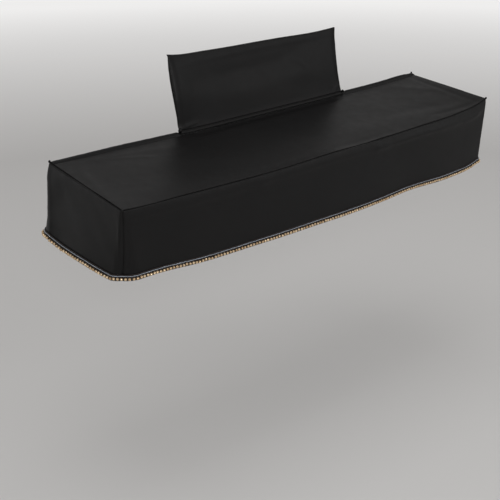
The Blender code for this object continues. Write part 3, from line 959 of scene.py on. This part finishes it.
def sphere_arrays(segments, rings):
    """(vertices, faces) of a unit sphere with a small hole at each pole."""
    polar = np.linspace(POLE_HOLE, np.pi - POLE_HOLE, rings)
    turn = np.arange(segments) * 2 * np.pi / segments
    polar, turn = np.meshgrid(polar, turn, indexing="ij")
    around = np.sin(polar)
    vertices = np.stack((np.cos(polar), around * np.cos(turn), around * np.sin(turn)), axis=-1)
    index = np.arange(rings * segments).reshape(rings, segments)
    beside = np.roll(index, -1, axis=1)
    faces = np.stack((index[:-1], index[1:], beside[1:], beside[:-1]), axis=-1)
    return vertices.reshape(-1, 3), faces.reshape(-1, 4)


def add_beads(rail, material):
    """The beads, each a little unlike its neighbours in size and place."""
    draw = np.random.default_rng(BEAD_SEED)
    count = int(rail.length / BEAD_PITCH)
    base, faces = sphere_arrays(segments=14, rings=8)
    parts = []
    for number in range(count):
        place = (number + 0.5) * rail.length / count + draw.normal(0, BEAD_PLACE_SPREAD)
        point, forward, outward, upward = rail.at(np.array([place]))
        axes = np.stack((forward[0], outward[0], upward[0]))
        size = BEAD_RADIUS * draw.normal(1.0, BEAD_SIZE_SPREAD) * np.array(BEAD_SHAPE)
        lean = draw.normal(0, BEAD_LEAN_SPREAD, 3)
        parts.append(((base * size) @ axes + point[0] + lean, faces))
    return joined("beads", parts, material)


def add_thread(rail, material):
    """The thread that holds the beads, looped up to the tape between each two."""
    count = int(rail.length / BEAD_PITCH)
    place = np.linspace(THREAD_END, rail.length - THREAD_END, count * THREAD_POINTS)
    point, _, outward, upward = rail.at(place)
    loop = np.cos(2 * np.pi * place * count / rail.length)
    lift = np.clip(loop - THREAD_IN_BEAD, 0, 1)[:, None]
    line = point + upward * THREAD_RISE * lift - outward * THREAD_SINK * lift
    return joined("bead_thread", [tube_arrays(line, THREAD_RADIUS, THREAD_SIDES)], material)


# ---------------------------------------------------------------------------- materials


def node(tree, kind, **inputs):
    """A shader node, with some of its inputs set or linked."""
    made = tree.nodes.new(kind)
    for name, value in inputs.items():
        socket = made.inputs[name.replace("_", " ")]
        if isinstance(value, bpy.types.NodeSocket):
            tree.links.new(value, socket)
        else:
            socket.default_value = value
    return made


def new_material(name, roughness=0.5):
    """(material, node tree, shader). A roughness that varies is linked over this one."""
    material = bpy.data.materials.new(name)
    material.use_nodes = True
    tree = material.node_tree
    shader = tree.nodes["Principled BSDF"]
    shader.inputs["Roughness"].default_value = roughness
    return material, tree, shader


def noise(tree, scale, detail):
    """Noise in the object's own coordinates."""
    place = node(tree, "ShaderNodeTexCoord").outputs["Object"]
    return node(tree, "ShaderNodeTexNoise", Vector=place, Scale=scale, Detail=detail).outputs["Fac"]


def add_colour(tree, shader, factor, low, high, colours):
    """A base colour that runs between two colours as the factor goes from low to high."""
    made = node(tree, "ShaderNodeValToRGB", Fac=factor)
    for element, position, colour in zip(made.color_ramp.elements, (low, high), colours):
        element.position = position
        element.color = (*colour, 1)
    tree.links.new(made.outputs["Color"], shader.inputs["Base Color"])


def add_bump(tree, shader, height, strength, distance):
    made = node(tree, "ShaderNodeBump", Height=height, Strength=strength, Distance=distance)
    tree.links.new(made.outputs["Normal"], shader.inputs["Normal"])


def leatherette_material():
    """Smooth black imitation leather: fine pebble grain, faint smudges, uneven sheen."""
    material, tree, shader = new_material("black_leatherette")
    colours = ((0.0050, 0.0049, 0.0051), (0.0066, 0.0062, 0.0062))
    add_colour(tree, shader, noise(tree, 5.0, 4.0), 0.3, 0.7, colours)
    shader.inputs["Specular IOR Level"].default_value = 0.14
    rough = node(tree, "ShaderNodeMath", Value=noise(tree, 38.0, 5.0))
    rough.operation = "MULTIPLY_ADD"
    rough.inputs[1].default_value = 0.14
    rough.inputs[2].default_value = 0.37
    tree.links.new(rough.outputs["Value"], shader.inputs["Roughness"])
    place = node(tree, "ShaderNodeTexCoord").outputs["Object"]
    pebble = node(tree, "ShaderNodeTexVoronoi", Vector=place, Scale=760.0).outputs["Distance"]
    grain = node(tree, "ShaderNodeMath", Value=pebble)
    grain.operation = "ADD"
    tree.links.new(noise(tree, 2600.0, 2.0), grain.inputs[1])
    add_bump(tree, shader, grain.outputs["Value"], 0.25, 0.0002)
    return material


def backing_material():
    """The knitted backing on the inside of the leatherette."""
    material, tree, shader = new_material("knit_backing", 0.92)
    knit = noise(tree, 900.0, 2.0)
    colours = ((0.020, 0.020, 0.021), (0.045, 0.044, 0.043))
    add_colour(tree, shader, knit, 0.35, 0.65, colours)
    add_bump(tree, shader, knit, 0.4, 0.0003)
    return material


def silver_material():
    """Silver lurex yarn."""
    material, tree, shader = new_material("silver_lurex", 0.34)
    glint = noise(tree, 1500.0, 2.0)
    add_colour(tree, shader, glint, 0.35, 0.7, ((0.20, 0.23, 0.28), (0.58, 0.63, 0.70)))
    shader.inputs["Metallic"].default_value = 0.8
    add_bump(tree, shader, glint, 0.5, 0.0002)
    return material


def tape_material():
    """Dark brown woven tape."""
    material, tree, shader = new_material("brown_tape", 0.8)
    fibre = noise(tree, 1400.0, 3.0)
    add_colour(tree, shader, fibre, 0.35, 0.7, ((0.006, 0.004, 0.003), (0.022, 0.012, 0.008)))
    add_bump(tree, shader, fibre, 0.5, 0.0003)
    return material


def bead_material():
    """Pearly champagne plastic."""
    material, tree, shader = new_material("champagne_bead", 0.2)
    tone = noise(tree, 90.0, 1.0)
    add_colour(tree, shader, tone, 0.3, 0.7, ((0.40, 0.26, 0.135), (0.74, 0.57, 0.37)))
    shader.inputs["Metallic"].default_value = 0.45
    return material


# ---------------------------------------------------------------------------- stage


def add_camera():
    data = bpy.data.cameras.new("camera")
    data.lens = CAMERA_LENS
    data.sensor_width = CAMERA_SENSOR
    camera = bpy.data.objects.new("camera", data)
    bpy.context.scene.collection.objects.link(camera)
    heading = Matrix.Rotation(-CAMERA_HEADING, 4, "Z")
    tilt = Matrix.Rotation(math.pi / 2 - CAMERA_PITCH, 4, "X")
    roll = Matrix.Rotation(CAMERA_ROLL, 4, "Z")
    camera.matrix_world = Matrix.Translation(CAMERA_AT) @ heading @ tilt @ roll
    bpy.context.scene.camera = camera


def add_floor():
    """A plain pale floor, as far below the cover as the piano's stand would put it, with painted
    light: it glows, and so gets paler, further away."""
    bpy.ops.mesh.primitive_plane_add(size=FLOOR_SIZE, location=(0.0, 0.0, FLOOR_HEIGHT))
    floor = bpy.context.object
    floor.name = "floor"
    material, tree, shader = new_material("floor_paint", 0.6)
    place = node(tree, "ShaderNodeTexCoord").outputs["Object"]
    away = node(tree, "ShaderNodeVectorMath", Vector=place)
    away.operation = "LENGTH"
    # painted light: the floor gives off light of its own, more the further it lies from the middle
    painted_glow = node(tree, "ShaderNodeMapRange", Value=away.outputs["Value"], **FLOOR_PAINTED_GLOW)
    tree.links.new(painted_glow.outputs["Result"], shader.inputs["Emission Strength"])
    shader.inputs["Emission Color"].default_value = (1.0, 1.0, 1.0, 1)
    shader.inputs["Base Color"].default_value = FLOOR_COLOUR
    floor.data.materials.append(material)


def add_area_light(name, place, size, power):
    """A square softbox that faces the cover."""
    data = bpy.data.lights.new(name, "AREA")
    data.shape = "SQUARE"
    data.size = size
    data.energy = power
    light = bpy.data.objects.new(name, data)
    bpy.context.scene.collection.objects.link(light)
    light.rotation_euler = Vector(place).to_track_quat("Z", "Y").to_euler()
    light.location = place


def add_light():
    world = bpy.data.worlds.new("studio")
    bpy.context.scene.world = world
    world.use_nodes = True
    background = world.node_tree.nodes["Background"]
    background.inputs["Color"].default_value = WORLD_COLOUR
    background.inputs["Strength"].default_value = WORLD_STRENGTH
    for softbox in SOFTBOXES:
        add_area_light(*softbox)
    bpy.context.scene.view_settings.view_transform = "Standard"


def main():
    add_camera()
    add_floor()
    add_light()
    leatherette = leatherette_material()
    cloth = [leatherette, backing_material()]
    sides = make_sides()
    add_top(cloth)
    for side in sides:
        add_skirt(side, cloth)
    add_pocket_face("front", POCKET_FRONT_CREASES, POCKET_FRONT_SEED, cloth)
    add_pocket_face("back", POCKET_BACK_CREASES, POCKET_BACK_SEED, cloth)
    add_gusset("pocket_left_gusset", 0.0, cloth)
    add_gusset("pocket_right_gusset", 1.0, cloth)
    ride(add_tails(leatherette), "leatherette")
    cord = add_cord(Rail(sides, CORD_LINE, CORD_STAND_OFF), silver_material())
    ride(cord, "trim_cord", "trim_cord")
    brown = tape_material()
    ride(add_tape(sides, brown), "trim_tape", "trim_tape")
    bead_rail = Rail(sides, BEAD_LINE, BEAD_STAND_OFF)
    ride(add_beads(bead_rail, bead_material()), "beads", "bead_string")
    ride(add_thread(bead_rail, brown), "trim_tape")


main()
